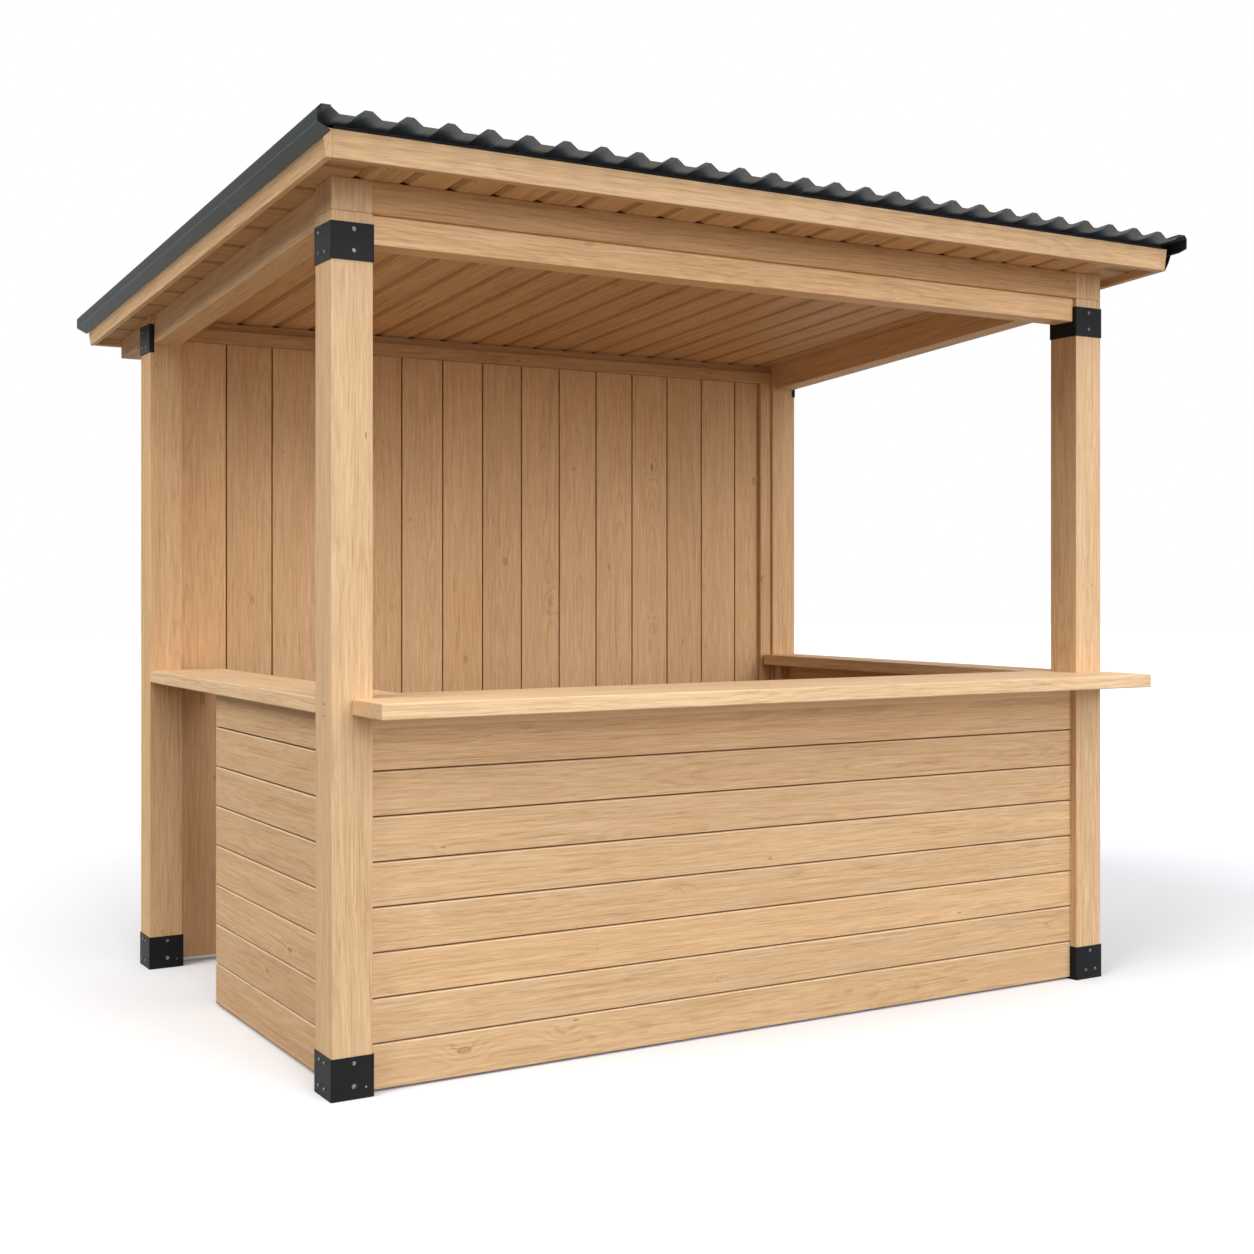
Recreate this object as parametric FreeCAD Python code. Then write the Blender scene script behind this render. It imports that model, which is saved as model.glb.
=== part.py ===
import FreeCAD, Part
import math
import os

os.makedirs("parts", exist_ok=True)

# All sizes are in millimetres. +X runs to the right along the serving front,
# +Y runs to the back and +Z is up. The origin is on the ground under the middle of the roof.

# Overall frame of four square posts
post_side = 120.0
width_over_posts = 2900.0
depth_over_posts = 1880.0
beam_setback = 15.0

# Beams. The clear height under the front beam sets every height of the roof.
front_beam_bottom = 2310.0
front_beam_height = 81.0
front_plate_height = 90.0
side_beam_height = 105.0
tail_height = 70.0
tail_notch_rise = 13.0
tail_notch_length = 94.0
tail_notch_slant = 50.0
back_beam_height = 78.0
back_beam_depth = 65.0
back_rail_height = 49.0

# Roof, which falls from front to back
roof_slope_deg = 4.0
barge_reach = 106.0
barge_top_thickness = 30.0
barge_bottom_thickness = 18.0
fascia_overhang_front = 200.0
fascia_overhang_back = 365.0
sheet_overhang_front = 55.0
sheet_overhang_back = 25.0
sheet_overhang_edge = 34.0
fascia_thickness = 32.0
fascia_height = 75.0
fascia_drop = 22.0
deck_thickness = 20.0
deck_board_count = 20
deck_bevel_width = 28.0
deck_bevel_depth = 7.0
soffit_board_cover = 210.0
soffit_first_board = 84.0
purlin_width = 45.0
purlin_height = 49.5
purlin_count = 4
eaves_strip_proud = 3.0
eaves_strip_face = 6.0

# Corrugated roof sheet
crest_count = 28
crest_inset = 24.0
crest_flat = 20.0
web_run = 26.0
profile_height = 19.0
sheet_thickness = 1.2
sheet_bend_radius = 7.0

# Verge flashing folded over each side edge of the sheet, with a longer leg on the right
flashing_thickness = 1.2
flashing_cover = 38.0
flashing_shoulder = 10.0
flashing_face = 34.0
flashing_return_drop = 18.0
flashing_bend_radius = 5.0
long_leg_inset = 14.0
long_leg_bulge = 4.0

# Steel brackets
bracket_thickness = 3.0
bracket_corner_radius = 4.0
foot_bracket_height = 115.0
foot_plate_thickness = 4.0
top_bracket_height = 102.0
front_bracket_reach = 51.0
back_bracket_reach = 134.0

# Counters
counter_thickness = 44.0
counter_top_height = 1078.0
front_counter_reach = 205.0
front_counter_inner = 165.0
front_counter_left_inset = 58.0
front_counter_right_reach = 22.0
left_counter_width = 270.0
right_counter_width = 170.0

# Board walls
panel_thickness = 22.0
panel_clearance = 12.0
front_panel_setback = 27.0
side_panel_setback = 50.0
left_panel_length = 1030.0
stud_width = 45.0
stud_depth = 40.0
front_stud_count = 4
side_stud_count = 3
wall_thickness = 24.0
wall_clearance = 20.0
wall_setback = 40.0
corner_batten_width = 55.0
wall_rail_height = 70.0
wall_rail_low = 60.0
wall_rail_middle = 1100.0

# Boards of the walls, shown by their joints, and the eased edges of the timber
panel_board_count = 8
panel_top_board_extra = 22.0
wall_board_count = 15
joint_width = 7.0
joint_depth = 5.0
timber_edge_radius = 3.0
counter_edge_radius = 4.0

# Places that follow from the sizes above
slope = math.tan(math.radians(roof_slope_deg))
front_beam_top = front_beam_bottom + front_beam_height
soffit_height_front = front_beam_top + front_plate_height
roof_depth = (sheet_overhang_front + fascia_overhang_front + depth_over_posts
              + fascia_overhang_back + sheet_overhang_back)
x_post = width_over_posts / 2
y_front = -roof_depth / 2 + sheet_overhang_front + fascia_overhang_front
y_back = y_front + depth_over_posts
y_fascia_front = y_front - fascia_overhang_front
y_fascia_back = y_back + fascia_overhang_back
y_sheet_front = y_fascia_front - sheet_overhang_front
y_sheet_back = y_fascia_back + sheet_overhang_back
x_barge = x_post + barge_reach
x_sheet = x_barge + sheet_overhang_edge
x_inside_barge = x_barge - barge_top_thickness
y_inside_front = y_fascia_front + fascia_thickness
y_inside_back = y_fascia_back - fascia_thickness
beam_width = post_side - 2 * beam_setback
counter_underside = counter_top_height - counter_thickness
panel_height = counter_underside - panel_clearance
panel_board_cover = (panel_height - panel_top_board_extra) / panel_board_count
y_wall = y_back - post_side + wall_setback
sheet_rise = deck_thickness + purlin_height
pitch = 2 * (x_sheet - crest_inset) / (crest_count - 1)


def soffit_z(y):
    """Height of the underside of the roof boards at depth y."""
    return soffit_height_front - slope * (y - y_front)


wall_top = soffit_z(y_wall) - back_beam_height


def box(x0, x1, y0, y1, z0, z1):
    """Box between two corners."""
    return Part.makeBox(x1 - x0, y1 - y0, z1 - z0, FreeCAD.Vector(x0, y0, z0))


def prism_along_x(outline, x0, x1):
    """Solid with a flat outline of (y, z) points, drawn out from x0 to x1."""
    points = [FreeCAD.Vector(x0, y, z) for y, z in outline]
    face = Part.Face(Part.makePolygon(points + points[:1]))
    return face.extrude(FreeCAD.Vector(x1 - x0, 0, 0))


def roof_slab(x0, x1, y0, y1, low, high):
    """Slab that follows the roof slope, from low to high above the soffit."""
    outline = [(y0, soffit_z(y0) + low), (y1, soffit_z(y1) + low),
               (y1, soffit_z(y1) + high), (y0, soffit_z(y0) + high)]
    return prism_along_x(outline, x0, x1)


def along_roof(section, y0, y1):
    """Straight solid with a section of (x, z) points above the soffit, from y0 to y1."""
    corners = [FreeCAD.Vector(x, y0, soffit_z(y0) + z) for x, z in section]
    run = y1 - y0
    face = Part.Face(Part.makePolygon(corners + corners[:1]))
    return face.extrude(FreeCAD.Vector(0, run, -slope * run))


def upright_under_roof(x0, x1, y0, y1, z0):
    """Upright piece from z0 to the underside of the roof boards, cut to the slope."""
    outline = [(y0, z0), (y1, z0), (y1, soffit_z(y1)), (y0, soffit_z(y0))]
    return prism_along_x(outline, x0, x1)


def barge_face_x(height):
    """Half width over the tapered barge boards, at a height above the soffit."""
    taper = (barge_top_thickness - barge_bottom_thickness) / fascia_height
    return x_barge - taper * (fascia_height - fascia_drop - height)


def side_span(side, inner, outer):
    """Low and high x of a piece on one side, from its distances to the middle."""
    return (-outer, -inner) if side == "left" else (inner, outer)


def rounded_path(points, radius):
    """Wire through (x, z) points with each corner rounded by an arc."""
    corners = [FreeCAD.Vector(x, 0, z) for x, z in points]
    edges = []
    last = corners[0]
    for before, corner, after in zip(corners, corners[1:], corners[2:]):
        towards_before = (before - corner).normalize()
        towards_after = (after - corner).normalize()
        half_angle = towards_before.getAngle(towards_after) / 2
        reach = radius / math.tan(half_angle)
        start = corner + towards_before * reach
        end = corner + towards_after * reach
        inwards = (towards_before + towards_after).normalize()
        middle = corner + inwards * (radius / math.sin(half_angle) - radius)
        edges.append(Part.LineSegment(last, start).toShape())
        edges.append(Part.Arc(start, middle, end).toShape())
        last = end
    edges.append(Part.LineSegment(last, corners[-1]).toShape())
    return Part.Wire(edges)


def folded_along_roof(path, thickness, y0, y1):
    """Folded sheet metal: its section follows a path above the purlins, from y0 to y1."""
    section = path.makeOffset2D(thickness, 0, True, True, False)
    solid = section.extrude(FreeCAD.Vector(0, y1 - y0, -slope * (y1 - y0)))
    solid.translate(FreeCAD.Vector(0, y0, soffit_z(y0) + sheet_rise))
    return solid


def eased(shape, radius):
    """Timber with its long edges rounded."""
    longest = max(edge.Length for edge in shape.Edges)
    return shape.makeFillet(radius, [edge for edge in shape.Edges if edge.Length > longest / 2])


def round_corners(shape, x0, x1, y0, y1, radius):
    """Steel bracket with its four outer upright corners rounded."""
    corners = [edge for edge in shape.Edges
               if edge.BoundBox.ZLength > edge.Length / 2
               and edge.BoundBox.Center.x in (x0, x1) and edge.BoundBox.Center.y in (y0, y1)]
    return shape.makeFillet(radius, corners)


def jointed_outline(length, thickness, joints):
    """Outline of a board wall: (along, across) points, with a V joint in the face at each place."""
    outline = [(0, 0)]
    for place in joints:
        outline += [(place - joint_width / 2, 0), (place, joint_depth), (place + joint_width / 2, 0)]
    return outline + [(length, 0), (length, thickness), (0, thickness)]


# Posts: square timber from the foot plates up, front ones square-topped under the cap blocks
def post(side, row):
    x0, x1 = side_span(side, x_post - post_side, x_post)
    if row == "front":
        timber = box(x0, x1, y_front, y_front + post_side, foot_plate_thickness, front_beam_top)
    else:
        timber = upright_under_roof(x0, x1, y_back - post_side, y_back, foot_plate_thickness)
    return eased(timber, timber_edge_radius)


# Foot brackets: steel shoe with a base plate that the post stands on
def foot_bracket(side, row):
    x0, x1 = side_span(side, x_post - post_side, x_post)
    y0 = y_front if row == "front" else y_back - post_side
    y1 = y0 + post_side
    t = bracket_thickness
    shoe = box(x0 - t, x1 + t, y0 - t, y1 + t, 0, foot_bracket_height)
    shoe = round_corners(shoe, x0 - t, x1 + t, y0 - t, y1 + t, bracket_corner_radius)
    return shoe.cut(box(x0, x1, y0, y1, foot_plate_thickness, foot_bracket_height))


# Front top brackets: steel sleeve round the post, notched for the front beam
def front_top_bracket(side):
    x0, x1 = side_span(side, x_post - post_side, x_post)
    y0 = y_front
    y1 = y0 + post_side
    t = bracket_thickness
    low = front_beam_bottom - front_bracket_reach
    high = low + top_bracket_height
    sleeve = box(x0 - t, x1 + t, y0 - t, y1 + t, low, high)
    sleeve = round_corners(sleeve, x0 - t, x1 + t, y0 - t, y1 + t, bracket_corner_radius)
    sleeve = sleeve.cut(box(x0, x1, y0, y1, low, high))
    n0, n1 = side_span(side, x_post - post_side - t, x_post - post_side)
    notch = box(n0, n1, y0 + beam_setback, y0 + beam_setback + beam_width, front_beam_bottom, high)
    return sleeve.cut(notch)


# Back top brackets: steel plate folded round the outer and back faces of the post,
# with a narrow lip beside the side beam and a notch for the rafter tail
def back_top_bracket(side):
    x0, x1 = side_span(side, x_post - post_side, x_post)
    y0 = y_back - post_side
    y1 = y_back
    t = bracket_thickness
    low = soffit_z(y0) - back_bracket_reach
    high = low + top_bracket_height
    plate = box(x0 - t, x1 + t, y0 - t, y1 + t, low, high)
    plate = round_corners(plate, x0 - t, x1 + t, y0 - t, y1 + t, bracket_corner_radius)
    plate = plate.cut(box(x0, x1, y0, y1, low, high))
    f0, f1 = side_span(side, x_post - post_side - t, x_post - beam_setback)
    plate = plate.cut(box(f0, f1, y0 - t, y0, low, high))
    i0, i1 = side_span(side, x_post - post_side - t, x_post - post_side)
    plate = plate.cut(box(i0, i1, y0, y1 + t, low, high))
    n0, n1 = side_span(side, x_post - post_side + beam_setback, x_post - beam_setback)
    tail_underside = soffit_z(y1 + t) - tail_height + tail_notch_rise
    return plate.cut(box(n0, n1, y1, y1 + t, tail_underside, high))


# Cap blocks: short upright blocks on the front posts, level with the roof plate
def cap_block(side):
    x0, x1 = side_span(side, x_post - post_side, x_post)
    block = upright_under_roof(x0, x1, y_front, y_front + post_side, front_beam_top)
    return eased(block, timber_edge_radius)


# Front beam and the roof plate that lies on it, between the front posts
def front_beam():
    y0 = y_front + beam_setback
    beam = box(-x_post + post_side, x_post - post_side, y0, y0 + beam_width,
               front_beam_bottom, front_beam_top)
    return eased(beam, timber_edge_radius)


def front_plate():
    y1 = y_front + beam_setback + beam_width
    plate = upright_under_roof(-x_post + post_side, x_post - post_side, y_front, y1,
                               front_beam_top)
    return eased(plate, timber_edge_radius)


# Side beams that slope with the roof, between front and back posts
def side_beam(side):
    x0, x1 = side_span(side, x_post - post_side + beam_setback, x_post - beam_setback)
    beam = roof_slab(x0, x1, y_front + post_side, y_back - post_side, -side_beam_height, 0)
    return eased(beam, timber_edge_radius)


# Rafter tails that carry the back overhang, from the back posts to the back fascia,
# notched up underneath beside the post
def rafter_tail(side):
    x0, x1 = side_span(side, x_post - post_side + beam_setback, x_post - beam_setback)
    y_notch = y_back + tail_notch_length
    y_deep = y_notch + tail_notch_slant
    outline = [(y_back, soffit_z(y_back)), (y_inside_back, soffit_z(y_inside_back)),
               (y_inside_back, soffit_z(y_inside_back) - tail_height),
               (y_deep, soffit_z(y_deep) - tail_height),
               (y_notch, soffit_z(y_notch) - tail_height + tail_notch_rise),
               (y_back, soffit_z(y_back) - tail_height + tail_notch_rise)]
    return eased(prism_along_x(outline, x0, x1), timber_edge_radius)


# Back beam on top of the back wall, and the proud rail under it on the inside
def back_beam():
    return upright_under_roof(-x_post + post_side, x_post - post_side, y_wall,
                              y_wall + back_beam_depth, wall_top)


def back_rail():
    y0 = y_back - post_side + beam_setback
    rail = box(-x_post + post_side, x_post - post_side, y0, y_wall,
               wall_top, wall_top + back_rail_height)
    return eased(rail, timber_edge_radius)


# Roof boards: the deck over the beams, each board with one bevelled edge underneath
def roof_deck():
    half = x_post - post_side / 2
    cover = 2 * half / deck_board_count
    section = [(-half, deck_thickness)]
    for index in range(deck_board_count):
        x = -half + index * cover
        section += [(x, deck_bevel_depth), (x + deck_bevel_width, 0), (x + cover, 0)]
    section.append((half, deck_thickness))
    return along_roof(section, y_inside_front, y_inside_back)


# Short boards across each side overhang, each with its front edge bevelled underneath
def side_soffit(side):
    x0, x1 = side_span(side, x_post - post_side / 2, x_inside_barge)
    outline = [(y_inside_front, soffit_z(y_inside_front))]
    y = y_inside_front + soffit_first_board
    while y < y_inside_back - deck_bevel_width:
        outline.append((y, soffit_z(y)))
        outline.append((y, soffit_z(y) + deck_bevel_depth))
        outline.append((y + deck_bevel_width, soffit_z(y + deck_bevel_width)))
        y += soffit_board_cover
    outline += [(y_inside_back, soffit_z(y_inside_back)),
                (y_inside_back, soffit_z(y_inside_back) + deck_thickness),
                (y_inside_front, soffit_z(y_inside_front) + deck_thickness)]
    return prism_along_x(outline, x0, x1)


# Fascia boards across the front and back, between the barge boards
def fascia(row):
    y0 = y_fascia_front if row == "front" else y_inside_back
    edge = y_fascia_front if row == "front" else y_fascia_back
    low = soffit_z(edge) - fascia_drop
    board = box(-x_inside_barge, x_inside_barge, y0, y0 + fascia_thickness,
                low, low + fascia_height)
    return eased(board, timber_edge_radius)


# Barge boards down each side: thicker at the top, and cut upright at both ends
def barge_board(side):
    sign = -1 if side == "left" else 1
    low = -fascia_drop
    high = fascia_height - fascia_drop
    section = [(x_inside_barge, low), (barge_face_x(low), low),
               (x_barge, high), (x_inside_barge, high)]
    board = along_roof([(sign * x, z) for x, z in section], y_fascia_front, y_fascia_back)
    return eased(board, timber_edge_radius)


# Purlins: battens across the deck that the sheet is screwed to
def purlins():
    step = (y_inside_back - y_inside_front - purlin_width) / (purlin_count - 1)
    battens = []
    for index in range(purlin_count):
        y0 = y_inside_front + index * step
        battens.append(roof_slab(-x_inside_barge, x_inside_barge, y0, y0 + purlin_width,
                                 deck_thickness, sheet_rise))
    return Part.makeCompound(battens)


# Eaves strips: dark filler between each fascia and the underside of the sheet
def eaves_strip(row):
    if row == "front":
        y0 = y_fascia_front - eaves_strip_proud
        y1 = y_inside_front
        low = soffit_z(y_fascia_front) - fascia_drop + fascia_height
    else:
        y0 = y_inside_back
        y1 = y_fascia_back + eaves_strip_proud
        low = soffit_z(y_fascia_back) - fascia_drop + fascia_height
    face_top = low + eaves_strip_face
    if row == "front":
        high = [(y1, soffit_z(y1) + sheet_rise), (y0, face_top)]
    else:
        high = [(y1, face_top), (y0, soffit_z(y0) + sheet_rise)]
    return prism_along_x([(y0, low), (y1, low)] + high, -x_inside_barge, x_inside_barge)


# Corrugated sheet: flat crests and pans with sloping webs, rolled as one long section
def roof_sheet():
    points = []
    for index in range(crest_count):
        middle = -x_sheet + crest_inset + index * pitch
        if index > 0:
            points.append((middle - crest_flat / 2 - web_run, 0))
        points.append((middle - crest_flat / 2, profile_height))
        points.append((middle + crest_flat / 2, profile_height))
        if index < crest_count - 1:
            points.append((middle + crest_flat / 2 + web_run, 0))
    path = rounded_path(points, sheet_bend_radius)
    return folded_along_roof(path, sheet_thickness, y_sheet_front, y_sheet_back)


# Verge flashing: folded over the last crest, down past the edge and back in to the barge board.
# On the right a second, longer leg bellies from it down to the bottom of the barge board.
def verge_flashing(side):
    t = flashing_thickness
    sign = -1 if side == "left" else 1
    top = profile_height + sheet_thickness
    x_face = x_sheet - t
    face_low = top - flashing_shoulder - flashing_face
    return_low = face_low - flashing_return_drop
    points = [(x_sheet - flashing_cover, top), (x_face - flashing_shoulder, top),
              (x_face, top - flashing_shoulder), (x_face, face_low),
              (barge_face_x(return_low + sheet_rise), return_low)]
    points = [(sign * x, z) for x, z in points]
    path = rounded_path(points, flashing_bend_radius)
    flashing = folded_along_roof(path, sign * t, y_sheet_front, y_sheet_back)
    if side == "left":
        return flashing
    start = FreeCAD.Vector(x_sheet - long_leg_inset, 0, face_low - t)
    end = FreeCAD.Vector(barge_face_x(-fascia_drop), 0, -sheet_rise - fascia_drop)
    outwards = FreeCAD.Vector(start.z - end.z, 0, end.x - start.x).normalize()
    middle = (start + end) / 2 + outwards * long_leg_bulge
    path = Part.Wire(Part.Arc(start, middle, end).toShape())
    leg = folded_along_roof(path, -t, y_fascia_front, y_fascia_back)
    return flashing.fuse(leg).removeSplitter()


# Counters: thick boards laid round the posts, front one proud of the posts
def front_counter_board():
    low, high = counter_underside, counter_top_height
    ledge = box(-x_post + front_counter_left_inset, x_post + front_counter_right_reach,
                y_front - front_counter_reach, y_front, low, high)
    inner = box(-x_post + post_side, x_post - post_side, y_front,
                y_front + front_counter_inner, low, high)
    return ledge.fuse(inner).removeSplitter()


def front_counter():
    return eased(front_counter_board(), counter_edge_radius)


def side_counter(side):
    width = left_counter_width if side == "left" else right_counter_width
    x0, x1 = side_span(side, x_post - width, x_post)
    board = box(x0, x1, y_front + post_side, y_back - post_side,
                counter_underside, counter_top_height)
    return eased(board.cut(front_counter_board()), counter_edge_radius)


# Board walls under the counters: boards laid level, with a V joint between each pair
def level_joints():
    return [index * panel_board_cover for index in range(1, panel_board_count)]


def front_panel():
    y0 = y_front + front_panel_setback
    outline = jointed_outline(panel_height, panel_thickness, level_joints())
    outline = [(y0 + across, panel_clearance + along) for along, across in outline]
    panel = prism_along_x(outline, -x_post + post_side, x_post - post_side)
    return panel.cut(foot_bracket("left", "front")).cut(foot_bracket("right", "front"))


def side_panel(side):
    sign = -1 if side == "left" else 1
    x_face = x_post - side_panel_setback
    y0 = y_front + post_side
    y1 = y0 + left_panel_length if side == "left" else y_back - post_side
    outline = jointed_outline(panel_height, panel_thickness, level_joints())
    corners = [FreeCAD.Vector(sign * (x_face - across), y0, panel_clearance + along)
               for along, across in outline]
    panel = Part.Face(Part.makePolygon(corners + corners[:1])).extrude(FreeCAD.Vector(0, y1 - y0, 0))
    return panel.cut(foot_bracket(side, "front")).cut(foot_bracket(side, "back"))


# Studs behind the board walls, which also carry the counters
def front_studs():
    y0 = y_front + front_panel_setback + panel_thickness
    inner_half = x_post - post_side - bracket_thickness
    step = (2 * inner_half - stud_width) / (front_stud_count - 1)
    studs = []
    for index in range(front_stud_count):
        x0 = -inner_half + index * step
        studs.append(box(x0, x0 + stud_width, y0, y0 + stud_depth,
                         panel_clearance, counter_underside))
    return Part.makeCompound(studs)


def side_studs(side):
    x_inner = x_post - side_panel_setback - panel_thickness
    x0, x1 = side_span(side, x_inner - stud_depth, x_inner)
    first = y_front + post_side + bracket_thickness
    last = y_back - post_side - bracket_thickness
    count = side_stud_count
    if side == "left":
        last = y_front + post_side + left_panel_length
        count = side_stud_count - 1
    step = (last - first - stud_width) / (count - 1)
    studs = []
    for index in range(count):
        y0 = first + index * step
        studs.append(box(x0, x1, y0, y0 + stud_width, panel_clearance, counter_underside))
    return Part.makeCompound(studs)


# Back wall: upright boards full height, with rails behind them and a batten in the right corner
def back_wall():
    length = 2 * (x_post - post_side)
    cover = length / wall_board_count
    joints = [index * cover for index in range(1, wall_board_count)]
    corners = [FreeCAD.Vector(-length / 2 + along, y_wall + across, wall_clearance)
               for along, across in jointed_outline(length, wall_thickness, joints)]
    wall = Part.Face(Part.makePolygon(corners + corners[:1]))
    wall = wall.extrude(FreeCAD.Vector(0, 0, wall_top - wall_clearance))
    return wall.cut(foot_bracket("left", "back")).cut(foot_bracket("right", "back"))


def wall_rails():
    x1 = x_post - post_side
    y0 = y_wall + wall_thickness
    y1 = y_wall + back_beam_depth
    rails = []
    for low in (wall_rail_low, wall_rail_middle):
        rail = box(-x1, x1, y0, y1, low, low + wall_rail_height)
        rail = rail.cut(foot_bracket("left", "back")).cut(foot_bracket("right", "back"))
        rails += rail.Solids
    return Part.makeCompound(rails)


def corner_batten():
    x1 = x_post - post_side
    batten = box(x1 - corner_batten_width, x1, y_back - post_side + beam_setback, y_wall,
                 wall_clearance, wall_top)
    return batten.cut(foot_bracket("right", "back"))


pieces = {}
for side in ("left", "right"):
    for row in ("front", "back"):
        pieces["post_" + row + "_" + side] = post(side, row)
        pieces["foot_bracket_" + row + "_" + side] = foot_bracket(side, row)
    pieces["top_bracket_front_" + side] = front_top_bracket(side)
    pieces["top_bracket_back_" + side] = back_top_bracket(side)
    pieces["cap_block_" + side] = cap_block(side)
    pieces["side_beam_" + side] = side_beam(side)
    pieces["rafter_tail_" + side] = rafter_tail(side)
    pieces["side_soffit_" + side] = side_soffit(side)
    pieces["barge_board_" + side] = barge_board(side)
    pieces["verge_flashing_" + side] = verge_flashing(side)
    pieces["counter_" + side] = side_counter(side)
    pieces["panel_" + side] = side_panel(side)
    pieces["studs_" + side] = side_studs(side)
for row in ("front", "back"):
    pieces["fascia_" + row] = fascia(row)
    pieces["eaves_strip_" + row] = eaves_strip(row)
pieces["front_beam"] = front_beam()
pieces["front_plate"] = front_plate()
pieces["back_beam"] = back_beam()
pieces["back_rail"] = back_rail()
pieces["roof_deck"] = roof_deck()
pieces["purlins"] = purlins()
pieces["roof_sheet"] = roof_sheet()
pieces["counter_front"] = front_counter()
pieces["panel_front"] = front_panel()
pieces["studs_front"] = front_studs()
pieces["back_wall"] = back_wall()
pieces["wall_rails"] = wall_rails()
pieces["corner_batten"] = corner_batten()

for name, shape in pieces.items():
    shape.exportStep("parts/" + name + ".step")
    print(name, len(shape.Solids), "solids, valid:", shape.isValid())
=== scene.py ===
import math

import bmesh
import bpy
from mathutils import Matrix, Vector


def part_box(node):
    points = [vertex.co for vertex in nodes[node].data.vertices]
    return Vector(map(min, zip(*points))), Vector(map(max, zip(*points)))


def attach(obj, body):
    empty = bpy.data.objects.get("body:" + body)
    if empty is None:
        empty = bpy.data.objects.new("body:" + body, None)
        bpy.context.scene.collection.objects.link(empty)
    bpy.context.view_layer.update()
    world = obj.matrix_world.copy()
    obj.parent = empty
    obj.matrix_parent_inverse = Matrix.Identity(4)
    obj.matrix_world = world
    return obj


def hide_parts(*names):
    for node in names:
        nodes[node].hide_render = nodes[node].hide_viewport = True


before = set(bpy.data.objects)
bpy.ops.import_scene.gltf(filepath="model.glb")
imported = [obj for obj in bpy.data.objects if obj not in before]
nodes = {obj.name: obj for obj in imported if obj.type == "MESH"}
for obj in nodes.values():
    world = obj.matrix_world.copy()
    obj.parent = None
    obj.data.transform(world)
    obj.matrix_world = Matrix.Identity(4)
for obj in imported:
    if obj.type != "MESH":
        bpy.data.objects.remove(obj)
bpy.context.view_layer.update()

# Post shoes
# Four folded shoes of 3 mm steel stand on the ground and hold the feet of the posts. They are
# powder coated in a near-black satin that shows a fine orange peel.
SHOE_BLACK = (0.0105, 0.0110, 0.0118, 1)
SHOE_WORN = (0.034, 0.035, 0.037, 1)
SHOE_STEEL = 0.003
SIDES = ("left", "right")
ROWS = ("front", "back")


class Signal:
    """One output socket of a finish. Arithmetic on it adds Math nodes."""

    def __init__(self, finish, socket):
        self.finish = finish
        self.socket = socket

    def maths(self, operation, *values):
        return self.finish.add("ShaderNodeMath", {"operation": operation}, dict(enumerate(values)))

    def __add__(self, other):
        return self.maths("ADD", self, other)

    def __radd__(self, other):
        return self.maths("ADD", other, self)

    def __sub__(self, other):
        return self.maths("SUBTRACT", self, other)

    def __rsub__(self, other):
        return self.maths("SUBTRACT", other, self)

    def __mul__(self, other):
        return self.maths("MULTIPLY", self, other)

    def __rmul__(self, other):
        return self.maths("MULTIPLY", other, self)

    def __truediv__(self, other):
        return self.maths("DIVIDE", self, other)

    def floor(self):
        return self.maths("FLOOR", self)

    def fraction(self):
        return self.maths("FRACT", self)

    def root(self):
        return self.maths("SQRT", self)

    def size(self):
        return self.maths("ABSOLUTE", self)

    def at_most(self, limit):
        return self.maths("MINIMUM", self, limit)

    def bell(self):
        """A smooth hump: 1 where the signal is 0, almost 0 beyond 2."""
        return self.maths("EXPONENT", 0 - self * self)

    def over(self, low, high):
        """0 below low, 1 above high, smooth between. High below low turns it round."""
        settings = {"interpolation_type": "SMOOTHSTEP", "clamp": True}
        sockets = {"Value": self, "From Min": low, "From Max": high}
        return self.finish.add("ShaderNodeMapRange", settings, sockets)


class Finish:
    """A material, or the studio's air, that is built up node by node."""

    def __init__(self, name, owner=None):
        self.material = owner or bpy.data.materials.new(name)
        self.material.use_nodes = True
        self.tree = self.material.node_tree
        self.tree.nodes.clear()

    def add(self, kind, settings, sockets, output=0):
        """Adds a node: its settings first, then the values or links of its sockets."""
        node = self.tree.nodes.new(kind)
        for key, value in settings.items():
            setattr(node, key, value)
        for key, value in sockets.items():
            socket = node.inputs[key]
            if isinstance(value, Signal):
                self.tree.links.new(value.socket, socket)
            else:
                socket.default_value = value
        return Signal(self, node.outputs[output])

    def split(self, vector):
        """The three numbers of a vector or colour."""
        first = self.add("ShaderNodeSeparateXYZ", {}, {"Vector": vector})
        return [Signal(self, socket) for socket in first.socket.node.outputs]

    def join(self, x, y, z):
        return self.add("ShaderNodeCombineXYZ", {}, {"X": x, "Y": y, "Z": z})

    def noise(self, vector, scale, detail=2.0, roughness=0.5, output="Fac"):
        sockets = {"Vector": vector, "Scale": scale, "Detail": detail, "Roughness": roughness}
        return self.add("ShaderNodeTexNoise", {"noise_dimensions": "3D"}, sockets, output)

    def blend(self, amount, first, second, way="MIX"):
        """Mixes two colours."""
        settings = {"data_type": "RGBA", "blend_type": way, "clamp_factor": True}
        return self.add("ShaderNodeMix", settings, {0: amount, 6: first, 7: second}, 2)

    def bump(self, height, strength, distance):
        sockets = {"Strength": strength, "Distance": distance, "Height": height}
        return self.add("ShaderNodeBump", {}, sockets)

    def close(self, **sockets):
        """Ends the finish with one Principled surface. Names use _ for a space."""
        sockets = {key.replace("_", " "): value for key, value in sockets.items()}
        shader = self.add("ShaderNodeBsdfPrincipled", {}, sockets)
        return self.end(shader)

    def end(self, shader, kind="ShaderNodeOutputMaterial"):
        output = self.tree.nodes.new(kind)
        self.tree.links.new(shader.socket, output.inputs["Surface"])
        return self.material


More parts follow.
